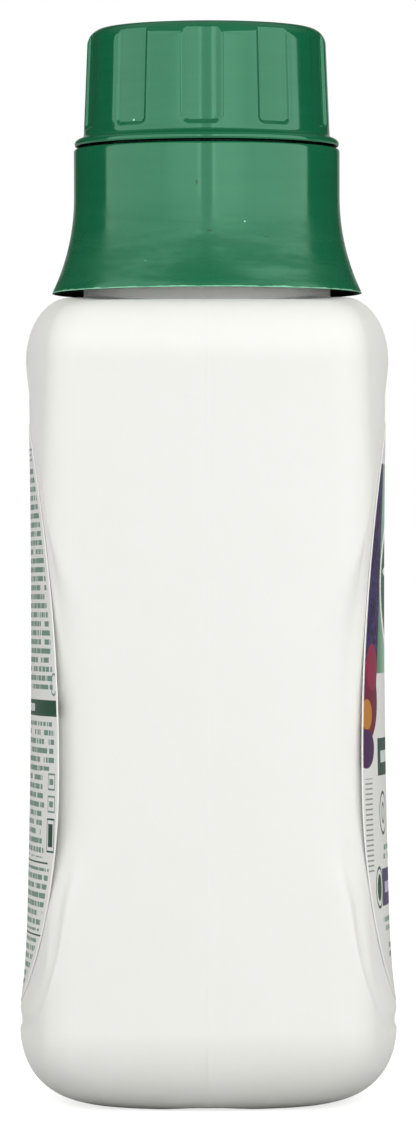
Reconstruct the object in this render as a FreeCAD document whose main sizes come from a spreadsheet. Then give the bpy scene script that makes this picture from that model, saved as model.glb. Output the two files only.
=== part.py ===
"""Laundry detergent bottle: blown bottle, pour spout, collar, dosing cap and two labels.

Frame: millimetres, +Z up, origin on the floor under the middle of the bottle.
The wide front panel faces -Y, the narrow mould-seam sides face +X and -X.
"""
import FreeCAD
import Part
import math
import os

import Sketcher

Vector = FreeCAD.Vector
UP = Vector(0, 0, 1)

doc = FreeCAD.newDocument("detergent_bottle")

DIMENSIONS = {
    "body_height": ("190.6", "floor to the flat top of the shoulder"),
    "wall": ("1.1", "blown wall of the bottle"),
    "base_half_width": ("55", "half the width just above the base corner"),
    "base_half_depth": ("45", "half the depth just above the base corner"),
    "base_corner_height": ("18", "height of the rounded base corner"),
    "base_side_reach": ("15", "how far the base corner runs in from the narrow sides"),
    "base_front_reach": ("16", "how far the base corner runs in from front and back"),
    "foot_corner_radius": ("20", "plan radius of the foot's corners, where it stands"),
    "foot_side_margin": ("1", "plan radius of the foot's narrow ends, less half the foot's depth"),
    "foot_front_radius": ("55", "plan radius of the foot's front and back"),
    "waist_height": ("112", "height of the narrowest part"),
    "waist_half_width": ("52", "half the width at the waist"),
    "waist_half_depth": ("44", "half the depth at the waist, outside the panels"),
    "shoulder_height": ("176", "height where the shoulder starts to round over"),
    "shoulder_half_width": ("54", "half the width at the shoulder"),
    "shoulder_half_depth": ("43.3", "half the depth at the shoulder"),
    "shoulder_side_reach": ("14", "how far the shoulder rounds in from the narrow sides"),
    "shoulder_front_reach": ("9.3", "how far the shoulder rounds in from front and back"),
    "shoulder_corner_radius": ("10", "plan radius of the shoulder's corners at its flat top"),
    "front_radius": ("150", "plan radius of the front and back"),
    "side_radius": ("110", "plan radius of the narrow sides"),
    "corner_radius": ("13", "plan radius between front and side"),
    "panel_half_depth": ("42", "half the depth at the label panel's waist"),
    "panel_waist_height": ("115", "height where the label panel is deepest"),
    "panel_bow_radius": ("2400", "radius of the panel's bow from top to bottom"),
    "panel_low_ramp_height": ("40", "the panel runs out to the body below this"),
    "panel_low_ramp_radius": ("147", "radius of that lower run-out"),
    "panel_top_ramp_height": ("166", "the panel runs out to the body above this"),
    "panel_top_ramp_radius": ("75", "radius of that upper run-out"),
    "panel_widest_height": ("74", "height where the egg-shaped panel is widest"),
    "panel_half_width": ("56", "half the width of the egg-shaped panel, which runs out over the corners"),
    "panel_above": ("101", "panel's reach above its widest place"),
    "panel_below": ("58", "panel's reach below its widest place"),
    "label_thickness": ("0.15", "film thickness"),
    "label_glue": ("0.05", "adhesive between film and panel"),
    "front_label_half_width": ("44", "half the width of the front label"),
    "back_label_half_width": ("47.6", "half the width of the back label"),
    "label_above": ("87", "label's reach above its widest place"),
    "label_below": ("51", "label's reach below its widest place"),
    "dimple_half_width": ("30", "hollow under the base, half width"),
    "dimple_half_depth": ("19", "hollow under the base, half depth"),
    "dimple_rise": ("4", "how high that hollow rises"),
    "dimple_run": ("2", "run of the hollow's side for each millimetre of rise"),
    "foot_split_rise": ("0.6", "groove that parts the two feet at the mould seam"),
    "foot_split_half_width": ("11", "half the width of that groove"),
    "plinth_radius": ("29.5", "step at the foot of the neck"),
    "plinth_rise": ("4", "height of that step"),
    "neck_radius": ("27.9", "outside of the neck"),
    "neck_wall": ("1.6", "wall of the neck"),
    "neck_rise": ("21.4", "shoulder to the rim of the neck"),
    "bead_reach": ("0.6", "how far the neck's snap bead stands out"),
    "bead_width": ("2.4", "height of the snap bead"),
    "bead_drop": ("10", "rim of the neck to the top of the snap bead"),
    "neck_root": ("1.1", "how deep the neck's moulding roots in the shoulder"),
    "fit": ("0.1", "running clearance between moulded pieces"),
    "spout_flange": ("1", "thickness of the spout's flange"),
    "spout_wall": ("1.2", "wall of the spout piece"),
    "spout_trough_depth": ("8", "rim of the neck to the drain trough's floor"),
    "spout_radius": ("15.5", "outside of the pouring tube"),
    "spout_rise": ("31", "rim of the neck to the tip of the tube"),
    "spout_slant": ("10", "how far the tube's mouth slopes down to the back"),
    "drain_slot": ("5", "width of the drain slot in the tube's back"),
    "collar_gap": ("1.5", "shoulder to the lower rim of the collar"),
    "collar_height": ("34.8", "lower rim to the top of the collar"),
    "collar_radius": ("31.8", "outside of the collar's upper part"),
    "collar_rim_radius": ("37.1", "outside of the collar's lower rim"),
    "collar_flare_height": ("20.4", "height of the curved skirt"),
    "collar_wall": ("1.2", "wall of the collar"),
    "collar_edge_radius": ("0.6", "rounding at the collar's top"),
    "shelf_reach": ("3.9", "how far the shelf comes in over the neck"),
    "clip_wall": ("1.1", "wall of the collar's inner clip"),
    "clip_hook": ("1.5", "height of the hook under the snap bead"),
    "cap_gap": ("0.4", "collar to the cap's flange"),
    "cap_height": ("28.2", "underside of the flange to the top of the cap"),
    "cap_top_radius": ("28.4", "outside of the cap at the top"),
    "cap_foot_radius": ("29.45", "outside of the cap above the flange"),
    "cap_wall": ("1.3", "wall of the cap"),
    "cap_edge_radius": ("2.4", "rounding at the cap's top"),
    "flange_radius": ("31.65", "outside of the flange"),
    "flange_edge": ("1", "thickness of the flange's edge"),
    "flange_slope_rise": ("1.2", "rise of the slope above that edge"),
    "cap_skirt": ("12.3", "length of the threaded skirt under the flange"),
    "thread_room": ("0.7", "collar bore to the plain part of that skirt"),
    "flute_count": ("10", "grip flutes round the cap"),
    "flute_angle": ("16.5", "width of a flute in degrees"),
    "flute_depth": ("0.7", "depth of a flute"),
    "flute_rounding": ("1.4", "corner radius of a flute"),
    "flute_top_margin": ("2.6", "top of the cap to the flutes"),
    "flute_foot_margin": ("2.6", "flange slope to the flutes"),
    "cap_turn": ("-2.5", "degrees from the -X side to the nearest flute"),
    "cutter_margin": ("6", "how far the cutting shapes overrun the bottle"),
}

sheet = doc.addObject("Spreadsheet::Sheet", "Sizes")
for row, (alias, (value, meaning)) in enumerate(DIMENSIONS.items(), start=1):
    sheet.set("A%d" % row, value)
    sheet.setAlias("A%d" % row, alias)
    sheet.set("B%d" % row, meaning)
doc.recompute()


def size(expression):
    """Value of a formula over the sheet's sizes."""
    return float(sheet.evalExpression(expression))


def bound(formula):
    """The same formula as another object's expression reads it."""
    for alias in sorted(DIMENSIONS, key=len, reverse=True):
        formula = replace_word(formula, alias, "Sizes." + alias)
    return formula


def replace_word(text, word, other):
    """Swap whole words only, so that one size's name inside another stays."""
    parts = text.replace("(", " ( ").replace(")", " ) ").split(" ")
    return " ".join(other if part == word else part for part in parts)


# Heights that several pieces share
SHOULDER_TOP = "body_height"
NECK_TOP = "body_height + neck_rise"
BEAD_TOP = NECK_TOP + " - bead_drop"
BEAD_FOOT = BEAD_TOP + " - bead_width"
SHELF_FOOT = NECK_TOP + " + spout_flange + fit"
SHELF_TOP = SHELF_FOOT + " + collar_wall"
COLLAR_FOOT = "body_height + collar_gap"
COLLAR_TOP = COLLAR_FOOT + " + collar_height"
FLARE_TOP = COLLAR_FOOT + " + collar_flare_height"
COLLAR_BORE = "collar_radius - collar_wall"
FLANGE_FOOT = COLLAR_TOP + " + cap_gap"
FLANGE_TOP = FLANGE_FOOT + " + flange_edge"
CAP_FOOT = FLANGE_TOP + " + flange_slope_rise"
CAP_TOP = FLANGE_FOOT + " + cap_height"
NECK_BORE = "neck_radius - neck_wall"


# Half sections that are turned into bodies

def arc_between(first, second, centre_height):
    """Short arc between two points about a centre at a given height; True if it runs backwards."""
    rise = [point[1] - centre_height for point in (first, second)]
    centre = (second[0] ** 2 + rise[1] ** 2 - first[0] ** 2 - rise[0] ** 2) / (2 * (second[0] - first[0]))
    radius = math.hypot(first[0] - centre, rise[0])
    angles = [math.atan2(rise[i], point[0] - centre) for i, point in enumerate((first, second))]
    turn = (angles[1] - angles[0]) % (2 * math.pi)
    backwards = turn > math.pi
    start, end = (angles[1], angles[0]) if backwards else (angles[0], angles[1])
    circle = Part.Circle(Vector(centre, centre_height, 0), UP, radius)
    return Part.ArcOfCircle(circle, start, end), backwards


def upright_sketch(body, name, outline):
    """Closed sketch on the XZ plane.

    A row holds a distance from the Z axis, a height and, where the line to the next row is an arc,
    its centre's height.
    """
    sketch = body.newObject("Sketcher::SketchObject", name)
    plane = next(item for item in body.Origin.OriginFeatures if item.Role == "XZ_Plane")
    sketch.AttachmentSupport = [(plane, "")]
    sketch.MapMode = "FlatFace"
    points = [(size(row[0]), size(row[1])) for row in outline]
    ends = []
    for index, row in enumerate(outline):
        first, second = points[index], points[(index + 1) % len(points)]
        if len(row) == 3:
            curve, backwards = arc_between(first, second, size(row[2]))
            sketch.addGeometry(curve, False)
            ends.append((2, 1) if backwards else (1, 2))
        else:
            sketch.addGeometry(Part.LineSegment(Vector(*first, 0), Vector(*second, 0)), False)
            ends.append((1, 2))
    for index, row in enumerate(outline):
        before = index - 1 if index else len(outline) - 1
        sketch.addConstraint(
            Sketcher.Constraint("Coincident", before, ends[before][1], index, ends[index][0]))
        formulas = {"DistanceX": row[0], "DistanceY": row[1]}
        if row[0] == "0":
            sketch.addConstraint(Sketcher.Constraint("PointOnObject", index, ends[index][0], -2))
            del formulas["DistanceX"]
        for kind, formula in formulas.items():
            place = sketch.addConstraint(
                Sketcher.Constraint(kind, -1, 1, index, ends[index][0], size(formula)))
            sketch.setExpression("Constraints[%d]" % place, bound(formula))
        if len(row) == 3:
            place = sketch.addConstraint(Sketcher.Constraint("DistanceY", -1, 1, index, 3, size(row[2])))
            sketch.setExpression("Constraints[%d]" % place, bound(row[2]))
    return sketch


def turned_body(name, outline):
    """A body made by turning a half section round the Z axis."""
    body = doc.addObject("PartDesign::Body", name)
    sketch = upright_sketch(body, name + "_section", outline)
    turned = body.newObject("PartDesign::Revolution", name + "_turned")
    turned.Profile = sketch
    turned.ReferenceAxis = (sketch, ["V_Axis"])
    turned.Angle = 360
    doc.recompute()
    return body


def round_ring(body, name, radius, height, rounding):
    """Fillet on the circular edge at a radius and a height of a turned body."""
    feature = body.Tip
    for index, edge in enumerate(feature.Shape.Edges, start=1):
        if not isinstance(edge.Curve, Part.Circle):
            continue
        if abs(edge.Curve.Radius - size(radius)) < 1e-4 and abs(edge.Curve.Center.z - size(height)) < 1e-4:
            fillet = body.newObject("PartDesign::Fillet", name)
            fillet.Base = (feature, ["Edge%d" % index])
            fillet.setExpression("Radius", bound(rounding))
            doc.recompute()
            return
    raise ValueError("no edge for " + name)


def solid_feature(name, shape):
    """A named sub-part whose shape is worked out here from the sheet."""
    feature = doc.addObject("Part::Feature", name)
    feature.Shape = shape
    feature.Placement = FreeCAD.Placement()
    return feature


# Bottle: blown in one piece, so it is one closed wall with a moulded neck

# Outlines that the lofts run through
CORNER_LEVELS = 6
WALL_LEVELS = 4
PANEL_LEVELS = 16

def oval(half_width, half_depth, radii, inset, height):
    """Plan outline of eight tangent arcs, with the radii of its corners, narrow sides and front."""
    half_width, half_depth = half_width - inset, half_depth - inset
    corner, side, front = [radius - inset for radius in radii]
    front_centre, side_centre = half_depth - front, half_width - side
    span = math.hypot(side_centre, front_centre)
    to_front, to_side = front - corner, side - corner
    along = (to_side ** 2 - to_front ** 2 + span ** 2) / (2 * span)
    across = math.sqrt(to_side ** 2 - along ** 2)
    unit = (-side_centre / span, front_centre / span)
    centres = [(side_centre + along * unit[0] - sign * across * unit[1],
                along * unit[1] + sign * across * unit[0]) for sign in (1, -1)]
    centre = max(centres, key=lambda place: place[0] + place[1])
    front_angle = math.atan2(centre[1] - front_centre, centre[0])
    side_angle = math.atan2(centre[1], centre[0] - side_centre)

    def on_corner(angle, flip_x, flip_y):
        return Vector(flip_x * (centre[0] + corner * math.cos(angle)),
                      flip_y * (centre[1] + corner * math.sin(angle)), height)

    middle = (front_angle + side_angle) / 2
    edges = []
    for flip_x, flip_y in ((1, 1), (-1, 1), (-1, -1), (1, -1)):
        angles = [side_angle, middle, front_angle]
        if flip_x * flip_y < 0:
            angles.reverse()
        edges.append(Part.Arc(*[on_corner(angle, flip_x, flip_y) for angle in angles]).toShape())
        end = on_corner(angles[2], flip_x, flip_y)
        if flip_x * flip_y > 0:
            through = Vector(0, flip_y * half_depth, height)
            start = on_corner(front_angle, -flip_x, flip_y)
        else:
            through = Vector(flip_x * half_width, 0, height)
            start = on_corner(side_angle, flip_x, -flip_y)
        edges.append(Part.Arc(end, through, start).toShape())
    return Part.Wire(edges)


def between(start, end, share):
    """The size a share of the way from start to end."""
    return start + (end - start) * share


def body_loft(inset):
    """The body without its panels, its wall moved inwards by the inset."""
    base, waist, shoulder = size("base_corner_height"), size("waist_height"), size("shoulder_height")
    body_radii = [size(name) for name in ("corner_radius", "side_radius", "front_radius")]
    foot_side_radius = size("base_half_depth - base_front_reach + foot_side_margin")
    foot_radii = [size("foot_corner_radius"), foot_side_radius, size("foot_front_radius")]
    top_radii = [size("shoulder_corner_radius")] + body_radii[1:]
    base_half = (size("base_half_width"), size("base_half_depth"))
    waist_half = (size("waist_half_width"), size("waist_half_depth"))
    shoulder_half = (size("shoulder_half_width"), size("shoulder_half_depth"))
    base_reach = (size("base_side_reach"), size("base_front_reach"))
    shoulder_reach = (size("shoulder_side_reach"), size("shoulder_front_reach"))
    outlines = []

    def add_rounded(half, reach, radii, share, height):
        """An outline in the base corner or the shoulder, a share of the way in."""
        half_width, half_depth = [start - (run - inset) * share for start, run in zip(half, reach)]
        blended = [between(radius, last, share) for radius, last in zip(body_radii, radii)]
        outlines.append(oval(half_width, half_depth, blended, inset, height))

    for step in range(CORNER_LEVELS):
        angle = math.pi / 2 * step / CORNER_LEVELS
        height = base - (base - inset) * math.cos(angle)
        add_rounded(base_half, base_reach, foot_radii, 1 - math.sin(angle), height)
    for end, half, steps in ((base, base_half, range(WALL_LEVELS, 0, -1)),
                             (shoulder, shoulder_half, range(WALL_LEVELS))):
        for step in steps:
            share = step / WALL_LEVELS
            wide, deep = [between(start, last, share ** 2) for start, last in zip(waist_half, half)]
            outlines.append(oval(wide, deep, body_radii, inset, between(waist, end, share)))
    top = size("body_height") - inset
    for step in range(CORNER_LEVELS + 1):
        angle = math.pi / 2 * step / CORNER_LEVELS
        height = between(shoulder, top, math.sin(angle))
        add_rounded(shoulder_half, shoulder_reach, top_radii, 1 - math.cos(angle), height)
    return Part.makeLoft(outlines, True, False)


def panel_half_depth(height):
    """Half the depth of the bottle at the middle of the label panel."""
    bow = height - size("panel_waist_height")
    depth = size("panel_half_depth") + bow ** 2 / (2 * size("panel_bow_radius"))
    below, above = size("panel_low_ramp_height") - height, height - size("panel_top_ramp_height")
    if below > 0:
        depth += below ** 2 / (2 * size("panel_low_ramp_radius"))
    if above > 0:
        depth += above ** 2 / (2 * size("panel_top_ramp_radius"))
    return depth


def panel_slab(near, far):
    """Curved slab that follows the front panel, from one distance in front of it to another."""
    reach = size("base_half_width + cutter_margin")
    low = size("panel_widest_height - panel_below - cutter_margin")
    high = size("panel_widest_height + panel_above + cutter_margin")
    outlines = []
    for level in range(PANEL_LEVELS + 1):
        height = between(low, high, level / PANEL_LEVELS)
        corners = []
        edges = []
        for offset in (near, far):
            radius = size("front_radius") + offset
            depth = panel_half_depth(height) + offset
            side = depth - radius + math.sqrt(radius ** 2 - reach ** 2)
            ends = [Vector(-reach, -side, height), Vector(reach, -side, height)]
            edges.append(Part.Arc(ends[0], Vector(0, -depth, height), ends[1]).toShape())
            corners.append(ends)
        sides = [Part.makeLine(corners[0][i], corners[1][i]) for i in (0, 1)]
        outlines.append(Part.Wire([edges[0], sides[1], edges[1], sides[0]]))
    return Part.makeLoft(outlines, True, False)


def egg(half_width, above, below):
    """Egg-shaped prism through the front half of the bottle: two half ellipses."""
    reach = size("base_half_depth + cutter_margin")
    edges = []
    for rise, start in ((above, 0), (below, 180)):
        arc = Part.makeCircle(1, Vector(0, 0, 0), Vector(0, -1, 0), start, start + 180)
        stretch = FreeCAD.Matrix()
        stretch.scale(half_width, 1, rise)
        stretch.move(Vector(0, -reach, size("panel_widest_height")))
        edges.append(arc.transformGeometry(stretch))
    return Part.Face(Part.Wire(edges)).extrude(Vector(0, reach, 0))


def both_sides(shape):
    """The shape and its copy turned half a turn round the Z axis."""
    other = shape.copy()
    other.rotate(Vector(0, 0, 0), UP, 180)
    return [shape, other]


def base_hollow(grow):
    """The hollow under the base, with the groove that parts the two feet."""
    rise, run = size("dimple_rise"), size("dimple_rise * dimple_run")
    wide, deep = size("dimple_half_width") + grow, size("dimple_half_depth") + grow
    floor = ellipse_disc(wide, deep, -grow)
    roof = ellipse_disc(wide - run, deep - run, rise + grow)
    dome = Part.makeLoft([floor, roof], True, True)
    split, half = size("foot_split_rise"), size("foot_split_half_width")
    radius = (half ** 2 + split ** 2) / (2 * split)
    reach = size("base_half_width + cutter_margin")
    groove = Part.makeCylinder(radius + grow, 2 * reach, Vector(-reach, 0, split - radius), Vector(1, 0, 0))
    return [dome, groove]


def ellipse_disc(half_width, half_depth, height):
    """Elliptical wire at a height."""
    circle = Part.makeCircle(1)
    stretch = FreeCAD.Matrix()
    stretch.scale(half_width, half_depth, 1)
    stretch.move(Vector(0, 0, height))
    return Part.Wire([circle.transformGeometry(stretch)])


def bottle_shape():
    wall = size("wall")
    outer = body_loft(0)
    cavity = body_loft(wall)
    cut_egg = [size(name) for name in ("panel_half_width", "panel_above", "panel_below")]
    outside = size("2 * cutter_margin")
    recess = panel_slab(0, outside).common(egg(*cut_egg))
    inner_recess = panel_slab(-wall, outside).common(egg(*[reach + wall for reach in cut_egg]))
    outer = outer.cut(both_sides(recess) + base_hollow(0))
    cavity = cavity.cut(both_sides(inner_recess) + base_hollow(wall))
    shoulder, rim = size(SHOULDER_TOP), size(NECK_TOP)
    root = size("neck_root")
    plinth = Part.makeCylinder(size("plinth_radius"), size("plinth_rise") + root,
                               Vector(0, 0, shoulder - root))
    neck = Part.makeCylinder(size("neck_radius"), rim - shoulder + root, Vector(0, 0, shoulder - root))
    bead = Part.makeCone(size("neck_radius + bead_reach"), size("neck_radius"), size("bead_width"),
                         Vector(0, 0, size(BEAD_FOOT)))
    margin = 2 * wall
    bore = Part.makeCylinder(size(NECK_BORE), rim - shoulder + 2 * margin, Vector(0, 0, shoulder - margin))
    return outer.fuse([plinth, neck, bead]).cut([cavity, bore])


def label_shape(half_width):
    """A film label on the front panel."""
    glue = size("label_glue")
    film = panel_slab(glue, glue + size("label_thickness"))
    return film.common(egg(half_width, size("label_above"), size("label_below")))


bottle = solid_feature("bottle", bottle_shape())
front_label = solid_feature("front_label", label_shape(size("front_label_half_width")))
back_label = solid_feature("back_label", label_shape(size("back_label_half_width")))
back_label.Placement = FreeCAD.Placement(Vector(0, 0, 0), FreeCAD.Rotation(UP, 180))


# Pour spout: a plug in the neck with a drain trough round an open pouring tube

TROUGH_TOP = NECK_TOP + " - spout_trough_depth"
TROUGH_FOOT = TROUGH_TOP + " - spout_wall"
SPOUT_TIP = NECK_TOP + " + spout_rise"
PLUG = NECK_BORE + " - fit"

pour_spout = turned_body("pour_spout", [
    ("spout_radius - spout_wall", TROUGH_FOOT),
    (PLUG, TROUGH_FOOT),
    (PLUG, NECK_TOP),
    ("neck_radius", NECK_TOP),
    ("neck_radius", NECK_TOP + " + spout_flange"),
    (PLUG + " - spout_wall", NECK_TOP + " + spout_flange"),
    (PLUG + " - spout_wall", TROUGH_TOP),
    ("spout_radius", TROUGH_TOP),
    ("spout_radius", SPOUT_TIP),
    ("spout_radius - spout_wall", SPOUT_TIP),
])


def side_pocket(body, name, corners, width):
    """Pocket with a polygon for its side view, cut to both sides of the XZ plane."""
    pocket = body.newObject("PartDesign::Pocket", name)
    pocket.Profile = upright_sketch(body, name + "_outline", corners)
    pocket.Midplane = True
    pocket.setExpression("Length", bound(width))
    doc.recompute()


REACH = "spout_radius + spout_wall"
side_pocket(pour_spout, "slanted_mouth", [
    ("-1 * ( " + REACH + " )", SPOUT_TIP),
    (REACH, SPOUT_TIP + " - spout_slant"),
    (REACH, SPOUT_TIP + " + spout_wall"),
    ("-1 * ( " + REACH + " )", SPOUT_TIP + " + spout_wall"),
], "2 * ( " + REACH + " )")
side_pocket(pour_spout, "drain_slot", [
    ("spout_radius - 2 * spout_wall", TROUGH_TOP),
    (REACH, TROUGH_TOP),
    (REACH, SPOUT_TIP),
    ("spout_radius - 2 * spout_wall", SPOUT_TIP),
], "drain_slot")


# Collar: a flared skirt, the bore that takes the cap, and a clip under the neck's snap bead

CLIP_BORE = "neck_radius + bead_reach + fit"
HOOK_TOP = BEAD_FOOT + " - fit"

collar = turned_body("collar", [
    ("collar_rim_radius", COLLAR_FOOT, FLARE_TOP),
    ("collar_radius", FLARE_TOP),
    ("collar_radius", COLLAR_TOP),
    (COLLAR_BORE, COLLAR_TOP),
    (COLLAR_BORE, SHELF_TOP),
    (COLLAR_BORE + " - shelf_reach", SHELF_TOP),
    (COLLAR_BORE + " - shelf_reach", SHELF_FOOT),
    (CLIP_BORE, SHELF_FOOT),
    (CLIP_BORE, HOOK_TOP),
    ("neck_radius + fit", HOOK_TOP),
    ("neck_radius + fit", HOOK_TOP + " - clip_hook"),
    (CLIP_BORE + " + clip_wall", HOOK_TOP + " - clip_hook"),
    (CLIP_BORE + " + clip_wall", SHELF_FOOT),
    (COLLAR_BORE, SHELF_FOOT),
    (COLLAR_BORE, FLARE_TOP, FLARE_TOP),
    ("collar_rim_radius - collar_wall", COLLAR_FOOT),
])
round_ring(collar, "collar_edge", "collar_radius", COLLAR_TOP, "collar_edge_radius")


# Dosing cap: a cup with a flange and a skirt that screws into the collar

SKIRT = COLLAR_BORE + " - thread_room"

cap_blank = turned_body("cap_blank", [
    ("0", CAP_TOP),
    ("0", CAP_TOP + " - cap_wall"),
    ("cap_top_radius - cap_wall", CAP_TOP + " - cap_wall"),
    ("cap_foot_radius - cap_wall", CAP_FOOT),
    (SKIRT + " - cap_wall", FLANGE_FOOT),
    (SKIRT + " - cap_wall", FLANGE_FOOT + " - cap_skirt"),
    (SKIRT, FLANGE_FOOT + " - cap_skirt"),
    (SKIRT, FLANGE_FOOT),
    ("flange_radius", FLANGE_FOOT),
    ("flange_radius", FLANGE_TOP),
    ("cap_foot_radius", CAP_FOOT),
    ("cap_top_radius", CAP_TOP),
])
round_ring(cap_blank, "cap_edge", "cap_top_radius", CAP_TOP, "cap_edge_radius")


def flute_cutters():
    """Rounded windows round the cap, each as deep all over, laid on the tapered wall."""
    top, foot = size(CAP_TOP), size(CAP_FOOT)
    high, low = top - size("flute_top_margin"), foot + size("flute_foot_margin")
    depth, rounding = size("flute_depth"), size("flute_rounding")
    floor = Part.makeCone(size("cap_foot_radius") - depth, size("cap_top_radius") - depth, top - foot,
                          Vector(0, 0, foot))
    half = size("cap_foot_radius") * math.sin(math.radians(size("flute_angle") / 2))
    length = size("flange_radius")
    window = Part.makeBox(length, 2 * half, high - low, Vector(0, -half, low))
    window = window.makeFillet(rounding, [edge for edge in window.Edges
                                          if abs(edge.Length - length) < 1e-6])
    window = window.cut(floor)
    count = int(size("flute_count"))
    windows = []
    for index in range(count):
        copy = window.copy()
        copy.rotate(Vector(0, 0, 0), UP, 180 + size("cap_turn") + 360 * index / count)
        windows.append(copy)
    return Part.makeCompound(windows)


flutes = solid_feature("flutes", flute_cutters())
dosing_cap = doc.addObject("Part::Cut", "dosing_cap")
dosing_cap.Base = cap_blank
dosing_cap.Tool = flutes

doc.recompute()

PARTS = [bottle, pour_spout, collar, dosing_cap, front_label, back_label]
for item in doc.Objects:
    if "Invalid" in item.State or "Error" in item.State:
        raise RuntimeError("failed: " + item.Name + " " + str(item.State))
for part in PARTS:
    part.Label = part.Name
    if part.Shape.isNull() or not part.Shape.isValid() or len(part.Shape.Solids) != 1:
        raise RuntimeError("bad shape: %s, %d solids" % (part.Label, len(part.Shape.Solids)))

os.makedirs("parts", exist_ok=True)
for part in PARTS:
    part.Shape.exportStep("parts/" + part.Label + ".step")
    box = part.Shape.optimalBoundingBox(False)
    print("%-12s volume %9.1f  x %.2f..%.2f  y %.2f..%.2f  z %.2f..%.2f" % (
        part.Label, part.Shape.Volume, box.XMin, box.XMax, box.YMin, box.YMax, box.ZMin, box.ZMax))
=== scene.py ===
"""Looks of the laundry detergent bottle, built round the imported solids."""
import math

import bpy
import numpy as np
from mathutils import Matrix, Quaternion, Vector


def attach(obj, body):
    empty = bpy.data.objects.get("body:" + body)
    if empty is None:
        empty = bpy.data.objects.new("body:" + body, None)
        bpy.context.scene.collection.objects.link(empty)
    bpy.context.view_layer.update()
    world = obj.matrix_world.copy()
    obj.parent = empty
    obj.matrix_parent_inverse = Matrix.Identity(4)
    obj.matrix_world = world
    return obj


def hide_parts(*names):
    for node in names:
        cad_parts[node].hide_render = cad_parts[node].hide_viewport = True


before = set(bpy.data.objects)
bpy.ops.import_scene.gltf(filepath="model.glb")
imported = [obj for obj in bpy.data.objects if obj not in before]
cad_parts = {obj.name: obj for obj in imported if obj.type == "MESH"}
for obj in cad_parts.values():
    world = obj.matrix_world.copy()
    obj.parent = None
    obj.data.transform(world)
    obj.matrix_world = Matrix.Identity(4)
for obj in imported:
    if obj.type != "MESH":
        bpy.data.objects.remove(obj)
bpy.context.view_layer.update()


# Camera and studio
# The view is level with the lower half of the bottle, from far off on a mould-seam side.
# Tall softboxes stand left, right and behind the camera, and a pale sheet runs under and behind.

DISTANCE, SIGHT_HEIGHT = 1.60, 0.1188
AIM_ASIDE, AIM_HEIGHT, ROLL = -0.0001, 0.1272, -0.12
SEEN_HEIGHT, SENSOR = 0.2704, 36.0
PAPER_SIZE, PAPER_GREY, PAPER_LIFT = 24, "#b6b6b6", 0.75
ROOM_TINT, ROOM_FRONT, ROOM_BACK = "#fffdf8", 0.54, 0.78

camera = bpy.data.objects.new("camera", bpy.data.cameras.new("camera"))
bpy.context.scene.collection.objects.link(camera)
camera.data.sensor_width = SENSOR
camera.data.lens = SENSOR * DISTANCE / SEEN_HEIGHT
camera.location = (-DISTANCE, 0, SIGHT_HEIGHT)
aim = Vector((0, AIM_ASIDE, AIM_HEIGHT))
level = (aim - camera.location).to_track_quat("-Z", "Y")
camera.rotation_euler = (level @ Quaternion((0, 0, 1), math.radians(ROLL))).to_euler()
bpy.context.scene.camera = camera


def node(tree, kind, inputs=None, **settings):
    """Add one node: settings are its own values, inputs feed its sockets with numbers or other sockets."""
    made = tree.nodes.new(kind)
    for name, value in settings.items():
        setattr(made, name, value)
    for socket, value in (inputs or {}).items():
        if isinstance(value, bpy.types.NodeSocket):
            tree.links.new(value, made.inputs[socket])
        else:
            made.inputs[socket].default_value = value
    return made


def arithmetic(tree, operation, *values):
    """The result of one Math node on numbers or sockets."""
    return node(tree, "ShaderNodeMath", dict(enumerate(values)), operation=operation).outputs[0]


def ramp(tree, value, start, end, low=0.0, high=1.0, **settings):
    """A value's run from start to end laid onto low to high, and held there past both ends."""
    return node(tree, "ShaderNodeMapRange", {"Value": value, "From Min": start, "From Max": end,
                                             "To Min": low, "To Max": high}, **settings).outputs[0]


def empty_material(name):
    """A new material with no nodes yet, and its tree."""
    made = bpy.data.materials.new(name)
    made.use_nodes = True
    made.node_tree.nodes.clear()
    return made, made.node_tree


def srgb(code):
    """Linear colour of an sRGB hex value."""
    parts = [int(code[i:i + 2], 16) / 255 for i in (1, 3, 5)]
    return [p / 12.92 if p <= 0.04045 else ((p + 0.055) / 1.055) ** 2.4 for p in parts] + [1]


def softbox(name, turn, distance, height, size, power):
    """An upright lamp that faces the bottle's axis; turn is measured from the camera's side."""
    lamp = bpy.data.objects.new(name, bpy.data.lights.new(name, "AREA"))
    lamp.data.shape = "RECTANGLE"
    lamp.data.size, lamp.data.size_y = size
    lamp.data.energy = power
    angle = math.radians(180 + turn)
    lamp.location = (distance * math.cos(angle), distance * math.sin(angle), height)
    lamp.rotation_euler = (math.pi / 2, 0, angle + math.pi / 2)
    bpy.context.scene.collection.objects.link(lamp)


softbox("softbox_right", 50.7, 0.9, 0.46, (1.85, 1.3), 10.7)
softbox("softbox_left", -50.7, 0.9, 0.46, (1.85, 1.3), 9.2)
softbox("softbox_front", 0, 2.2, 0.45, (0.56, 2.0), 2.4)

bpy.ops.object.select_all(action="DESELECT")
bpy.ops.mesh.primitive_plane_add(size=PAPER_SIZE)
floor = bpy.context.object
floor.name = "floor"
# Matt paper: it throws light up at the foot, and the camera sees it lifted almost to white.
floor_paper, tree = empty_material("white_sweep_paper")
rays = node(tree, "ShaderNodeLightPath")
matt = node(tree, "ShaderNodeBsdfDiffuse", {"Color": srgb(PAPER_GREY)}).outputs[0]
lift = node(tree, "ShaderNodeEmission", {"Color": (1, 1, 1, 1), "Strength": PAPER_LIFT}).outputs[0]
seen = node(tree, "ShaderNodeAddShader", {0: matt, 1: lift}).outputs[0]
paper = node(tree, "ShaderNodeMixShader", {0: rays.outputs["Is Camera Ray"], 1: matt, 2: seen}).outputs[0]
node(tree, "ShaderNodeOutputMaterial", {"Surface": paper})
floor.data.materials.append(floor_paper)

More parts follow.
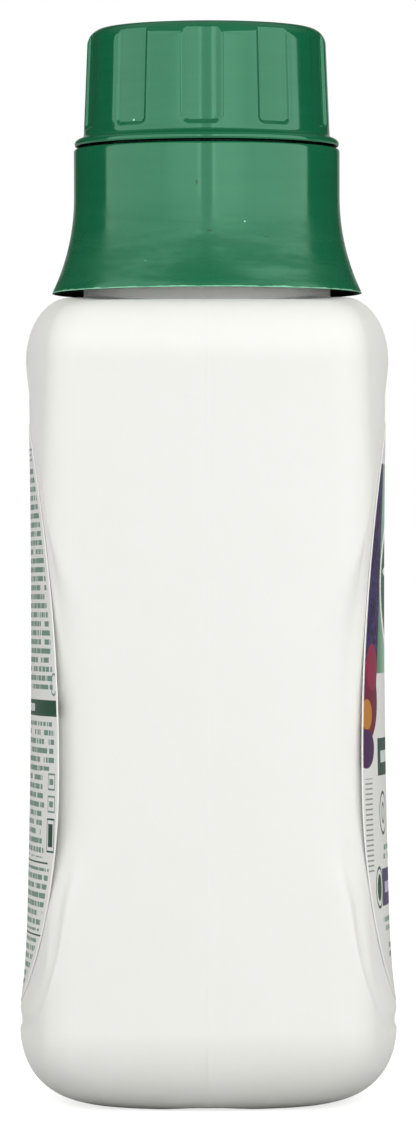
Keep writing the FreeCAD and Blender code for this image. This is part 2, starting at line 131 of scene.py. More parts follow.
# To matt surfaces the room is a warm grey, brighter behind the bottle; the camera sees it white.
# In gloss it is dark, with a sheet behind the bottle, a glow behind the camera and one overhead.
world = bpy.data.worlds.new("studio")
bpy.context.scene.world = world
world.use_nodes = True
tree = world.node_tree
tree.nodes.clear()
rays = node(tree, "ShaderNodeLightPath")
way = node(tree, "ShaderNodeTexCoord")
split = node(tree, "ShaderNodeSeparateXYZ", {0: way.outputs["Generated"]})
glows = 0.0
for axis, start, end, low, high in (("X", 0.90, 0.97, 0.03, 0.35), ("X", -0.95, -0.75, 0.3, 0.0),
                                    ("Z", 0.45, 0.80, 0.0, 0.25)):
    glow = ramp(tree, split.outputs[axis], start, end, low, high, interpolation_type="SMOOTHSTEP")
    glows = arithmetic(tree, "ADD", glows, glow)
room = ramp(tree, split.outputs["X"], -0.3, 0.4, ROOM_FRONT, ROOM_BACK, interpolation_type="SMOOTHSTEP")
light = node(tree, "ShaderNodeBackground", {"Color": srgb(ROOM_TINT), "Strength": room}).outputs[0]
for ray, strength in (("Is Glossy Ray", glows), ("Is Camera Ray", 1.0)):
    plain = node(tree, "ShaderNodeBackground", {"Color": (1, 1, 1, 1), "Strength": strength}).outputs[0]
    light = node(tree, "ShaderNodeMixShader", {0: rays.outputs[ray], 1: light, 2: plain}).outputs[0]
node(tree, "ShaderNodeOutputWorld", {"Surface": light})

bpy.context.scene.view_settings.view_transform = "Standard"


# Bottle
# Extrusion-blown white polyethylene: one closed wall, so every corner is soft, the mould leaves a
# fine seam up both narrow sides, and the front and back sink into egg-shaped label panels.

mm = 0.001
BODY_TOP, WALL = 190.6, 1.1
BASE_CORNER, WAIST_HEIGHT, SHOULDER_HEIGHT = 18.0, 112.0, 176.0
BASE_HALF, WAIST_HALF, SHOULDER_HALF = (55.0, 45.0), (52.0, 44.0), (54.0, 43.3)
BASE_REACH, SHOULDER_REACH, CORNER_FULLNESS = (15.0, 16.0), (14.0, 10.0), 1.1
BODY_RADII, FOOT_RADII, TOP_RADII = (13.0, 110.0, 150.0), (20.0, 30.0, 55.0), (10.0, 110.0, 150.0)
DIMPLE_HALF, GROOVE_RISE, GROOVE_HALF = (30, 19), 0.6, 11.0
PANEL_HEIGHT, PANEL_HALF_WIDTH, PANEL_ABOVE, PANEL_BELOW = 74.0, 56.0, 103.0, 58.0
PANEL_WAIST, PANEL_HALF_DEPTH, PANEL_BOW_RADIUS = 115.0, 42.0, 2400
LOW_RAMP_HEIGHT, LOW_RAMP_RADIUS, TOP_RAMP_HEIGHT, TOP_RAMP_RADIUS = 40.0, 147, 166.0, 75
PANEL_STEP, PANEL_NARROWING, PANEL_POWER, PANEL_SQUARING = 0.5, 7.5, 1.83, 3.17
EDGE_SOFTNESS, MORE_SOFTNESS, SOFTEST_HEIGHT, SOFT_REACH, STEP_GAP_HEIGHT = 0.035, 0.10, 95.0, 30.0, 88.0
SEAM_HALF, SEAM_PROUD, SEAM_PROUD_ENDS, SEAM_LOW_END = 0.3, 0.09, 0.16, 30
PLINTH_RADIUS, PLINTH_RISE, NECK_RADIUS, NECK_TOP = 29.5, 4.0, 27.9, 212.0
BEAD_PROUD, BEAD_FOOT, BEAD_TOP, END_DROP = 0.6, 199.6, 202.0, 1.5
QUARTER_COLUMNS, CORNER_STEPS, SHOULDER_STEPS = 60, 24, 12
WALL_ROWS = ((BASE_CORNER, 34, 20), (34, 158, 80), (158, SHOULDER_HEIGHT, 18))
MERGE_GAP, SPREAD = 0.01, (1.0, 1.0, 0.95)


def smooth(value, low, high):
    """Soft step from 0 at low to 1 at high."""
    share = np.clip((value - low) / (high - low), 0, 1)
    return share * share * (3 - 2 * share)


def column_angles():
    """Angles round the bottle: closer at the corners, with a few at each mould seam."""
    crowd, centre = 0.5, 0.43
    share = np.arange(QUARTER_COLUMNS + 1) / QUARTER_COLUMNS
    bend = np.sin(2 * np.pi * (share - centre)) + np.sin(2 * np.pi * centre)
    quarter = (share - crowd / (2 * np.pi) * bend) * np.pi / 2
    seam = np.array([0.0035, 0.010])
    quarter = np.sort(np.concatenate([quarter, seam]))
    half = np.concatenate([quarter, np.pi - quarter[-2::-1]])
    return np.concatenate([half, half[1:] + np.pi])


def oval(angles, half, radii):
    """Outline of eight tangent arcs, met by rays from the axis: its points and outward normals."""
    across, along = np.abs(np.cos(angles)), np.abs(np.sin(angles))
    corner, side_radius, front_radius = radii
    side, front = half[0] - side_radius, half[1] - front_radius
    span = math.hypot(side, front)
    to_side, to_front = side_radius - corner, front_radius - corner
    reach = (to_side ** 2 - to_front ** 2 + span ** 2) / (2 * span)
    rise = math.sqrt(to_side ** 2 - reach ** 2)
    unit = (-side / span, front / span)
    centre = max(((side + reach * unit[0] - sign * rise * unit[1], reach * unit[1] + sign * rise * unit[0])
                  for sign in (1, -1)), key=sum)
    bends = []
    for place, radius in (((side, 0), side_radius), ((0, front), front_radius)):
        gap = (centre[0] - place[0], centre[1] - place[1])
        stretch = radius / math.hypot(*gap)
        bends.append(math.atan2(place[1] + gap[1] * stretch, place[0] + gap[0] * stretch))
    ray = np.arctan2(along, across)
    places = np.where((ray < bends[0])[:, None], (side, 0.0),
                      np.where((ray > bends[1])[:, None], (0.0, front), centre))
    radius = np.where(ray < bends[0], side_radius, np.where(ray > bends[1], front_radius, corner))
    dot = across * places[:, 0] + along * places[:, 1]
    length = dot + np.sqrt(dot ** 2 - (places ** 2).sum(1) + radius ** 2)
    points = np.stack([across * length, along * length], 1)
    normals = (points - places) / radius[:, None]
    signs = np.stack([np.where(np.cos(angles) < 0, -1, 1), np.where(np.sin(angles) < 0, -1, 1)], 1)
    return points * signs, normals * signs


def rounded_outline(angles, half, reach, last_radii, share):
    """An outline in the base corner or the shoulder, a share of the way in."""
    inner = [start - run * share for start, run in zip(half, reach)]
    radii = [radius + (last - radius) * share for radius, last in zip(BODY_RADII, last_radii)]
    return oval(angles, inner, radii)


def body_half(height):
    """Half the width and half the depth of the body, which bows out from its waist."""
    low = height < WAIST_HEIGHT
    run = WAIST_HEIGHT - BASE_CORNER if low else SHOULDER_HEIGHT - WAIST_HEIGHT
    share = ((height - WAIST_HEIGHT) / run) ** 2
    ends = BASE_HALF if low else SHOULDER_HALF
    return [waist + (end - waist) * share for waist, end in zip(WAIST_HALF, ends)]


def panel_depth(height):
    """How far the label panel lies under the body's own surface."""
    panel = PANEL_HALF_DEPTH + (height - PANEL_WAIST) ** 2 / (2 * PANEL_BOW_RADIUS)
    panel += max(0, LOW_RAMP_HEIGHT - height) ** 2 / (2 * LOW_RAMP_RADIUS)
    panel += max(0, height - TOP_RAMP_HEIGHT) ** 2 / (2 * TOP_RAMP_RADIUS)
    return max(0, body_half(height)[1] - panel)


def sink_panel(points, normals, height):
    """Move the points inside the egg outline inwards, fading out towards the narrow sides."""
    aside, forward = np.abs(points[:, 0]), np.abs(points[:, 1])
    squared = smooth(-height, -80, -45)
    power = PANEL_POWER + PANEL_SQUARING * squared
    half_width = PANEL_HALF_WIDTH - PANEL_NARROWING * squared
    rise = abs(height - PANEL_HEIGHT) / (PANEL_ABOVE if height > PANEL_HEIGHT else PANEL_BELOW)
    within_egg = 1 - ((aside / half_width) ** power + rise ** power) ** (1 / power)
    soft = EDGE_SOFTNESS + MORE_SOFTNESS * math.exp(-((height - SOFTEST_HEIGHT) / SOFT_REACH) ** 2)
    sunk = panel_depth(height) * smooth(within_egg, 0.0, soft) * smooth(forward, 25, 34.5)
    border = PANEL_STEP * smooth(within_egg, 0.012, 0.036) * (1 - smooth(within_egg, 0.055, 0.10))
    border *= smooth(abs(height - STEP_GAP_HEIGHT), 35, 55) * smooth(forward, 26, 33)
    return points - normals * (sunk + border)[:, None]


def bottle_rows():
    """Rings of points from the middle of the base up to the rim of the neck."""
    angles = column_angles()
    circle = np.stack([np.cos(angles), np.sin(angles)], 1)
    rows = []

    def ring(points, height, drop=0.0):
        """Add a ring: a shallow groove parts the base into two feet, and the narrow ends may drop."""
        groove = GROOVE_RISE * (1 - (points[:, 1] / GROOVE_HALF) ** 2)
        fall = END_DROP * drop * smooth(np.abs(points[:, 0]), 14, 33)
        rows.append(np.column_stack([points, np.maximum(height, groove) - fall]))

    for share, height in ((0, 4.0), (0.35, 4.0), (0.7, 3.8), (0.85, 2.9), (0.95, 1.2), (1, 0.2), (1.03, 0.0)):
        ring(circle * DIMPLE_HALF * share, height)
    foot = rounded_outline(angles, BASE_HALF, BASE_REACH, FOOT_RADII, 1.0)[0]
    ring((foot + circle * DIMPLE_HALF) / 2, 0.0)
    for step in range(CORNER_STEPS):
        angle = math.pi / 2 * step / CORNER_STEPS
        height = BASE_CORNER * (1 - math.cos(angle))
        share = (1 - math.sin(angle)) ** CORNER_FULLNESS
        points, normals = rounded_outline(angles, BASE_HALF, BASE_REACH, FOOT_RADII, share)
        ring(sink_panel(points, normals, height), height)
    for low, high, count in WALL_ROWS:
        for height in np.linspace(low, high, count, False):
            points, normals = oval(angles, body_half(height), BODY_RADII)
            ring(sink_panel(points, normals, height), height)
    for step in range(SHOULDER_STEPS + 1):
        angle = math.pi / 2 * step / SHOULDER_STEPS
        height = SHOULDER_HEIGHT + (BODY_TOP - SHOULDER_HEIGHT) * math.sin(angle)
        share = 1 - math.cos(angle)
        points, normals = rounded_outline(angles, SHOULDER_HALF, SHOULDER_REACH, TOP_RADII, share)
        shoulder = sink_panel(points, normals, min(height, SHOULDER_HEIGHT))
        ring(shoulder, height, math.sin(angle) ** 2)
    for share in (0.2, 0.4, 0.6, 0.8):
        ring(shoulder * (1 - share) + circle * (PLINTH_RADIUS + 1) * share, BODY_TOP, 1.0)
    ring(circle * (PLINTH_RADIUS + 1), BODY_TOP, 1.0)
    ring(circle * (PLINTH_RADIUS + 0.3), BODY_TOP + 0.25, 1.0)
    ledge = BODY_TOP + PLINTH_RISE
    for radius, height in ((PLINTH_RADIUS, BODY_TOP + 0.9), (PLINTH_RADIUS, ledge - 0.3),
                           (PLINTH_RADIUS - 0.3, ledge), (NECK_RADIUS, ledge), (NECK_RADIUS, BEAD_FOOT),
                           (NECK_RADIUS + BEAD_PROUD, BEAD_FOOT), (NECK_RADIUS, BEAD_TOP),
                           (NECK_RADIUS, NECK_TOP)):
        ring(circle * radius, height)
    return rows


def raise_seam(rows):
    """The mould seam stands proud of the narrow sides, most at the foot and on the shoulder's top."""
    for ring in rows:
        height = ring[0, 2]
        near = np.abs(ring[:, 1]) < SEAM_HALF
        proud = SEAM_PROUD if SEAM_LOW_END <= height <= BODY_TOP - 1 else SEAM_PROUD_ENDS
        if 0.3 < height < BODY_TOP + 3:
            ring[near, 0] += np.sign(ring[near, 0]) * proud * (1 - np.abs(ring[near, 1]) / SEAM_HALF)
        ring[:, 0] = np.clip(ring[:, 0], -BASE_HALF[0], BASE_HALF[0])


def activate(piece):
    """Make a piece the only selected one and the active one."""
    bpy.ops.object.select_all(action="DESELECT")
    piece.select_set(True)
    bpy.context.view_layer.objects.active = piece


def clean(piece):
    """Join doubled points, turn faces outwards and leave edit mode."""
    activate(piece)
    bpy.ops.object.mode_set(mode="EDIT")
    bpy.ops.mesh.select_all(action="SELECT")
    bpy.ops.mesh.remove_doubles(threshold=MERGE_GAP * mm)
    bpy.ops.mesh.normals_make_consistent(inside=False)
    bpy.ops.object.mode_set(mode="OBJECT")


def apply(piece, kind, **settings):
    """Add a modifier with its settings and apply it."""
    activate(piece)
    modifier = piece.modifiers.new(kind.lower(), kind)
    for name, value in settings.items():
        setattr(modifier, name, value)
    bpy.ops.object.modifier_apply(modifier=modifier.name)


def smooth_shade(piece, degrees):
    """Smooth faces, with real corners kept sharp."""
    activate(piece)
    bpy.ops.object.shade_smooth_by_angle(angle=math.radians(degrees))


rows = bottle_rows()
raise_seam(rows)
bpy.ops.object.select_all(action="DESELECT")
bpy.ops.mesh.primitive_grid_add(x_subdivisions=len(rows[0]) - 1, y_subdivisions=len(rows) - 1, size=1)
bottle = bpy.context.object
bottle.name = "blown_bottle"
bottle.data.vertices.foreach_set("co", (np.concatenate(rows) * mm).astype(np.float32).ravel())
bottle.data.update()
clean(bottle)
apply(bottle, "SOLIDIFY", thickness=WALL * mm, offset=-1.0, use_even_offset=False)
smooth_shade(bottle, 40)


def noise(tree, place, scale, detail, roughness=0.5):
    """Soft random clouds between 0 and 1."""
    return node(tree, "ShaderNodeTexNoise", {"Vector": place, "Scale": scale, "Detail": detail,
                                             "Roughness": roughness}).outputs[0]


def bump(tree, height, strength, depth, **below):
    """Fine relief in the shading, laid on the relief given as Normal."""
    return node(tree, "ShaderNodeBump", {"Height": height, "Strength": strength, "Distance": depth * mm,
                                         **below}).outputs[0]


def cover(tree, below, mask, above):
    """Lay one colour over another where the mask is 1; each is a hex value or a socket."""
    mix = node(tree, "ShaderNodeMix", {"Factor": mask}, data_type="RGBA")
    for socket, colour in ((6, below), (7, above)):
        if isinstance(colour, str):
            mix.inputs[socket].default_value = srgb(colour)
        else:
            tree.links.new(colour, mix.inputs[socket])
    return mix.outputs[2]


def surface(tree, inputs):
    """Close a material with its one principled skin."""
    skin = node(tree, "ShaderNodeBsdfPrincipled", inputs)
    node(tree, "ShaderNodeOutputMaterial", {"Surface": skin.outputs[0]})


def white_polyethylene():
    """Blown HDPE: milky white, satin skin with the mould's fine grain and slow ripples."""
    made, tree = empty_material("blown_white_polyethylene")
    where = node(tree, "ShaderNodeTexCoord").outputs["Object"]
    cloud = noise(tree, where, 28.0, 3.0)
    ripple = bump(tree, noise(tree, where, 55.0, 1.0), 0.35, 0.4)
    grain = bump(tree, noise(tree, where, 900.0, 2.0), 0.12, 0.1, Normal=ripple)
    surface(tree, {"Base Color": cover(tree, "#f4f5ee", cloud, "#f8f9f3"), "IOR": 1.54,
                   "Roughness": ramp(tree, cloud, 0, 1, 0.36, 0.46), "Normal": grain,
                   "Subsurface Weight": 0.5, "Subsurface Radius": SPREAD, "Subsurface Scale": 0.005})
    return made


bottle.data.materials.append(white_polyethylene())
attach(bottle, "container")
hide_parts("bottle")


# Pour spout
# Injection-moulded natural polyethylene plug, pressed into the neck. The cap hides it at rest, so
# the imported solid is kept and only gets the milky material.

def natural_polyethylene():
    """Unpigmented LDPE: waxy, a little see-through, so light spreads under its skin."""
    made, tree = empty_material("natural_polyethylene")
    where = node(tree, "ShaderNodeTexCoord").outputs["Object"]
    surface(tree, {"Base Color": srgb("#e6e8e4"), "IOR": 1.51,
                   "Roughness": ramp(tree, noise(tree, where, 60.0, 3.0), 0, 1, 0.32, 0.44),
                   "Subsurface Weight": 0.4, "Subsurface Radius": SPREAD, "Subsurface Scale": 0.003})
    return made


def finish_cad(name, material):
    """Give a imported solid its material."""
    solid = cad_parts[name]
    solid.data.materials.clear()
    solid.data.materials.append(material)


finish_cad("pour_spout", natural_polyethylene())


# Collar
# Injection-moulded green polypropylene: a flared skirt that clips over the neck, with a shelf
# inside and the bore the cap screws into. Its foot is a thin edge with a trace of mould flash,
# painted pale along the rim, partly as a highlight of the edge catching light.

COLLAR_FOOT, FLARE_TOP, SHELF_FOOT, SHELF_TOP, COLLAR_TOP = 192.1, 215.0, 213.1, 214.3, 226.6
RIM_RADIUS, COLLAR_RADIUS, COLLAR_BORE, SHELF_BORE = 37.1, 31.8, 30.6, 26.7
SKIRT_WALL, SKIRT_INSIDE_TOP, FLARE_STEPS = 1.2, 212.5, 14
CLIP_RADIUS, CLIP_BORE, CATCH_BORE, CLIP_FOOT, CATCH_TOP = 29.7, 28.6, 28.0, 198.0, 199.5
COLLAR_EDGE, SOFT_EDGE, PAINTED_SHADE_REACH = 0.6, 0.12, 0.008
FLARE_RADIUS = ((RIM_RADIUS - COLLAR_RADIUS) ** 2 + (FLARE_TOP - COLLAR_FOOT) ** 2) / (
    2 * (RIM_RADIUS - COLLAR_RADIUS))


def flare(height, inset=0.0):
    """Radius of the collar's skirt at a height; it stands upright where it meets the straight part."""
    drop = FLARE_TOP - height
    return COLLAR_RADIUS + FLARE_RADIUS - math.sqrt(FLARE_RADIUS ** 2 - drop ** 2) - inset


def closed_outline(name, outline, turn=0.0):
    """A circle of points moved onto the outline of a turned piece, left selected in edit mode."""
    bpy.ops.object.select_all(action="DESELECT")
    bpy.ops.mesh.primitive_circle_add(vertices=len(outline), fill_type="NOTHING")
    piece = bpy.context.object
    piece.name = name
    angle = math.radians(turn)
    for vertex, (radius, height) in zip(piece.data.vertices, outline):
        vertex.co = (radius * mm * math.cos(angle), radius * mm * math.sin(angle), height * mm)
    bpy.ops.object.mode_set(mode="EDIT")
    bpy.ops.mesh.select_all(action="SELECT")
    return piece


def turn_outline(steps, degrees):
    """Sweep the selected outline on round the upright axis."""
    bpy.ops.mesh.spin(steps=steps, angle=math.radians(degrees), center=(0, 0, 0), axis=(0, 0, 1),
                      use_auto_merge=False)


def pick_edges(piece, wanted):
    """Enter edit mode with only those edges selected whose two ends pass the test."""
    bpy.ops.object.mode_set(mode="EDIT")
    bpy.ops.mesh.select_mode(type="EDGE")
    bpy.ops.mesh.select_all(action="DESELECT")
    bpy.ops.object.mode_set(mode="OBJECT")
    places = [vertex.co / mm for vertex in piece.data.vertices]
    for edge in piece.data.edges:
        edge.select = wanted([places[index] for index in edge.vertices])
    bpy.ops.object.mode_set(mode="EDIT")


def at(ends, radius, height):
    """True where all ends lie on one ring."""
    return all(abs(math.hypot(c.x, c.y) - radius) < 0.02 and abs(c.z - height) < 0.02 for c in ends)


def flare_heights(top):
    """Even steps from the collar's foot up to a height."""
    return [COLLAR_FOOT + (top - COLLAR_FOOT) * step / FLARE_STEPS for step in range(FLARE_STEPS + 1)]


outline = [(flare(height), height) for height in flare_heights(FLARE_TOP)]
outline += [(COLLAR_RADIUS, height) for height in (219.0, COLLAR_TOP - 2 * COLLAR_EDGE, COLLAR_TOP)]
outline += [(COLLAR_BORE, COLLAR_TOP), (COLLAR_BORE, SHELF_TOP), (SHELF_BORE, SHELF_TOP)]
outline += [(SHELF_BORE, SHELF_FOOT), (CLIP_BORE, SHELF_FOOT), (CLIP_BORE, CATCH_TOP)]
outline += [(CATCH_BORE, CATCH_TOP), (CATCH_BORE, CLIP_FOOT + 0.8), (CLIP_BORE - 0.1, CLIP_FOOT)]
outline += [(CLIP_RADIUS, CLIP_FOOT), (CLIP_RADIUS, SHELF_FOOT), (COLLAR_BORE, SHELF_FOOT)]
outline += [(flare(height, SKIRT_WALL), height) for height in flare_heights(SKIRT_INSIDE_TOP)[::-1]]
collar = closed_outline("flared_collar", outline)
turn_outline(180, 360)
bpy.ops.object.mode_set(mode="OBJECT")
clean(collar)
pick_edges(collar, lambda ends: at(ends, COLLAR_RADIUS, COLLAR_TOP))
bpy.ops.mesh.bevel(offset=COLLAR_EDGE * mm, segments=4)
bpy.ops.object.mode_set(mode="OBJECT")
apply(collar, "BEVEL", width=SOFT_EDGE * mm, segments=2, limit_method="ANGLE", angle_limit=math.radians(40))
smooth_shade(collar, 30)


def share_of(tree, place, middle, reach):
    """How far a place lies from a middle, as a share of the reach along each axis."""
    moved = node(tree, "ShaderNodeMapping", {"Vector": place, "Location": middle, "Scale": reach},
                 vector_type="TEXTURE")
    return node(tree, "ShaderNodeVectorMath", {0: moved.outputs[0]}, operation="LENGTH").outputs["Value"]


def green_polypropylene():
    """Glossy pigmented PP: deep green with specks, its mould polish smeared by flow lines; painted shade in
    tight gaps, one painted glint, and a pale foot edge that is partly painted highlight.
    """
    made, tree = empty_material("glossy_green_polypropylene")
    where = node(tree, "ShaderNodeTexCoord").outputs["Object"]
    height = node(tree, "ShaderNodeSeparateXYZ", {0: where}).outputs["Z"]
    flow, drag = [node(tree, "ShaderNodeMapping", {"Vector": where, "Scale": scale}).outputs[0]
                  for scale in ((40.0, 40.0, 500.0), (45.0, 45.0, 230.0))]
    lines = noise(tree, flow, 1.0, 2.0)
    low_down = ramp(tree, height, 0.214, 0.200, 0.1, 1.0)
    smear = ramp(tree, noise(tree, drag, 1.0, 4.0, 0.6), 0.40, 0.60, 0.35, 1.0)
    smear = arithmetic(tree, "MULTIPLY", smear, low_down)
    ink = cover(tree, "#0c5939", lines, "#0f6340")
    # Small spots at fixed places: dark and pale specks in the plastic, and the last one, on the cap, a
    # painted glint.
    for middle, reach, code in (((-31.8, 2.4, 216.9), (2, 0.28, 0.55), "#07110b"),
                                ((-32.7, -0.6, 205.5), (2, 0.7, 0.22), "#123b28"),
                                ((-31.2, -8.9, 207.7), (2, 0.2, 0.2), "#a3d2b8"),
                                ((-29.4, -14.0, 204.2), (2, 0.6, 0.15), "#0b3d29"),
                                ((-29.6, 14.5, 198.5), (2, 0.2, 0.2), "#8cc7a6"),
                                ((-24.0, 17.2, 232.2), (2, 0.25, 0.3), "#c5e0d0")):
        away = share_of(tree, where, [value * mm for value in middle], [value * mm for value in reach])
        ink = cover(tree, ink, arithmetic(tree, "LESS_THAN", away, 1.0), code)
    # A pale band along the collar's foot: mould flash, and partly a painted highlight of the thin edge.
    flash_and_edge_highlight = noise(tree, where, 260.0, 2.0)
    flash_and_edge_highlight = arithmetic(tree, "MULTIPLY_ADD", flash_and_edge_highlight, 0.7 * mm, (COLLAR_FOOT - 0.05) * mm)
    ink = cover(tree, ink, arithmetic(tree, "LESS_THAN", height, flash_and_edge_highlight), "#7fbd9c")
    ridges = bump(tree, lines, 0.025, 0.2)
    dents = bump(tree, smear, 0.05, 0.2, Normal=ridges)
    # Painted shade: ambient occlusion darkens the colour and the gloss in tight gaps, such as under the cap's
    # flange, under the rim and in the flute corners.
    occlusion_for_painted_shade = node(tree, "ShaderNodeAmbientOcclusion", {"Distance": PAINTED_SHADE_REACH}, samples=8).outputs["AO"]
    painted_gap_shade = ramp(tree, occlusion_for_painted_shade, 0.35, 0.6)
    ink = node(tree, "ShaderNodeVectorMath", {0: ink, 1: painted_gap_shade}, operation="MULTIPLY").outputs[0]
    gloss = arithmetic(tree, "MULTIPLY", painted_gap_shade, ramp(tree, smear, 0, 1, 1.0, 0.45))
    surface(tree, {"Base Color": ink, "Roughness": ramp(tree, smear, 0, 1, 0.085, 0.38), "Normal": dents,
                   "IOR": 1.6, "Specular IOR Level": gloss, "Specular Tint": srgb("#b9ffdc")})
    return made


green = green_polypropylene()
collar.data.materials.append(green)
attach(collar, "container")
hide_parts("collar")


# Dosing cap
# Injection-moulded green polypropylene cup with ten shallow grip flutes, a thin flange that hides
# the joint and a threaded skirt. It screws into the collar and comes off as a measure.

CAP_TOP, CAP_FOOT, FLANGE_FOOT, SKIRT_FOOT, CAP_ROOF = 255.5, 229.5, 227.3, 215.0, 254.2
CAP_TOP_RADIUS, CAP_FOOT_RADIUS, CAP_ROUNDING, ROUND_STEPS = 28.4, 29.45, 4.2, 16
FLANGE_RADIUS, CAP_SKIRT_RADIUS, CAP_SKIRT_BORE = 31.62, 29.9, 28.6
FLUTES, CAP_TURN, FLUTE_HALF, FLUTE_DEPTH = 10, 177.5, 8.2, 0.8
FLUTE_LOW, FLUTE_HIGH, FLUTE_CORNER, FLUTE_SOFT, FLUTED_FROM = 231.4, 260.0, 1.4, 0.6, 230.5


def cap_wall(height):
    """Outer radius of the cup, which narrows a little upwards."""
    return CAP_FOOT_RADIUS + (CAP_TOP_RADIUS - CAP_FOOT_RADIUS) * (height - CAP_FOOT) / (CAP_TOP - CAP_FOOT)


round_height = CAP_TOP - CAP_ROUNDING
round_radius = cap_wall(round_height) - CAP_ROUNDING
outline = [(radius, CAP_TOP) for radius in (0, 8, 16, 22)]
for step in range(ROUND_STEPS + 1):
    angle = math.pi / 2 * (1 - step / ROUND_STEPS)
    outline.append((round_radius + CAP_ROUNDING * math.cos(angle),
                    round_height + CAP_ROUNDING * math.sin(angle)))
wall_rows = [round_height - 0.3 * step for step in range(1, 6)] + [248.0 - 2.5 * step for step in range(6)]
wall_rows += [233.7 - 0.22 * step for step in range(16)] + [229.9]
outline += [(cap_wall(height), height) for height in wall_rows]
outline += [(29.6, CAP_FOOT), (29.95, 229.3), (30.55, 229.1), (31.1, 228.8), (31.45, 228.45)]
outline += [(FLANGE_RADIUS, 228.1), (FLANGE_RADIUS, 227.6), (31.45, FLANGE_FOOT)]
outline += [(CAP_SKIRT_RADIUS, FLANGE_FOOT), (CAP_SKIRT_RADIUS, SKIRT_FOOT)]
outline += [(CAP_SKIRT_BORE, SKIRT_FOOT), (CAP_SKIRT_BORE, FLANGE_FOOT)]
outline += [(28.15, CAP_FOOT), (27.1, 253.0), (25.8, CAP_ROOF), (14, CAP_ROOF), (0, CAP_ROOF)]
cap = closed_outline("dosing_cap_cup", outline, CAP_TURN)
bpy.ops.object.mode_set(mode="OBJECT")
pick_edges(cap, lambda ends: all(math.hypot(c.x, c.y) < 0.01 for c in ends))
bpy.ops.mesh.delete(type="EDGE_FACE")
bpy.ops.mesh.select_all(action="SELECT")
floor_half, edge_zone = 4.6, 4.6
land = 360 / FLUTES - 2 * (floor_half + edge_zone)
for flute in range(FLUTES):
    for steps, degrees in ((3, floor_half), (14, edge_zone), (8, land), (14, edge_zone), (3, floor_half)):
        turn_outline(steps, degrees)
bpy.ops.object.mode_set(mode="OBJECT")
clean(cap)

# The flutes are rounded rectangles on the unrolled wall, sunk to one depth with a soft edge
places = np.empty(len(cap.data.vertices) * 3, np.float32)
cap.data.vertices.foreach_get("co", places)
places = places.reshape(-1, 3) / mm
radius, height = np.hypot(places[:, 0], places[:, 1]), places[:, 2]
turn = (np.degrees(np.arctan2(places[:, 1], places[:, 0])) - CAP_TURN + 180 / FLUTES) % (360 / FLUTES)
turn -= 180 / FLUTES
outside = (radius > cap_wall(height) - 0.01) | ((height > round_height) & (radius > round_radius + 0.3))
outside &= height > FLUTED_FROM
across = np.abs(np.radians(turn)) * radius - (math.radians(FLUTE_HALF) * CAP_FOOT_RADIUS - FLUTE_CORNER)
along = np.abs(height - (FLUTE_HIGH + FLUTE_LOW) / 2) - ((FLUTE_HIGH - FLUTE_LOW) / 2 - FLUTE_CORNER)
corner = np.hypot(np.maximum(across, 0), np.maximum(along, 0))
edge = corner + np.minimum(np.maximum(across, along), 0) - FLUTE_CORNER
flute_wall = cap_wall(height) - FLUTE_DEPTH * smooth(-edge, -FLUTE_SOFT, FLUTE_SOFT)
sunk = np.where(outside & (flute_wall < radius), flute_wall, radius)
places[:, :2] *= (sunk / np.maximum(radius, 0.001))[:, None]
cap.data.vertices.foreach_set("co", (places * mm).astype(np.float32).ravel())
cap.data.update()

# A little over one turn of coarse screw thread round the skirt
THREAD_ROOT, THREAD_CREST, THREAD_FOOT, THREAD_PITCH = 29.7, 30.32, 217.2, 6.0
THREAD_SWEEP, THREAD_STEPS = 400, 140
profile = [(THREAD_ROOT, 0.0), (CAP_SKIRT_RADIUS, 0.1), (THREAD_CREST, 0.6), (THREAD_CREST, 1.3),
           (CAP_SKIRT_RADIUS, 1.8), (THREAD_ROOT, 1.9)]
thread = closed_outline("cap_thread", [(radius, THREAD_FOOT + rise) for radius, rise in profile], CAP_TURN)
bpy.ops.object.mode_set(mode="OBJECT")
apply(thread, "SCREW", angle=math.radians(THREAD_SWEEP), screw_offset=THREAD_PITCH * mm,
      steps=THREAD_STEPS, render_steps=THREAD_STEPS)
bpy.ops.object.mode_set(mode="EDIT")
bpy.ops.mesh.select_all(action="DESELECT")
bpy.ops.mesh.select_non_manifold()
bpy.ops.mesh.fill()
bpy.ops.object.mode_set(mode="OBJECT")
clean(thread)
activate(cap)
thread.select_set(True)
bpy.ops.object.join()
smooth_shade(cap, 50)
cap.data.materials.append(green)
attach(cap, "cap")
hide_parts("dosing_cap")


# Labels
# Two egg-shaped films of white polypropylene, printed and laid in the panels. The print is made of
# plain bars, discs, rings and fields; rows of small bars stand where a real label has small type.

LABEL_MIDDLE, LABEL_ABOVE, LABEL_BELOW, FRONT_HALF, BACK_HALF = 74.0, 87.0, 51.0, 44.0, 47.6
DARK_GREEN, GREY_GREEN, VIOLET, CRIMSON = "#10482f", "#6d8d81", "#38235c", "#6f1736"
EDGE_WHITE_AND_HIGHLIGHT, FILM_WHITE, PRINTED_WHITE = "#f4f4f2", "#dfe0dd", "#f1f2ee"
EDGE_MARGIN, PRINT_MARGIN, PRINT_PITCH = 0.9, 3.2, 2.12
FIELD_FOOT, LEAF_FOOT, FIELD_TOP = 96, 101.5, 151


def product(tree, *masks):
    """Where all the masks meet."""
    whole = masks[0]
    for mask in masks[1:]:
        whole = arithmetic(tree, "MULTIPLY", whole, mask)
    return whole


def within(tree, value, low, high):
    """1 where the value lies between two limits."""
    return arithmetic(tree, "COMPARE", value, (low + high) / 2, (high - low) / 2)


def block(tree, across, up, low, high, foot, top):
    """1 inside an upright rectangle."""
    return product(tree, within(tree, across, low, high), within(tree, up, foot, top))


def disc(tree, place, middle, reach, hole=0.0):
    """1 inside an ellipse, or between it and the same ellipse at the share given by hole."""
    return within(tree, share_of(tree, place, (*middle, 0), (*reach, 1)), hole if hole else -1, 1)


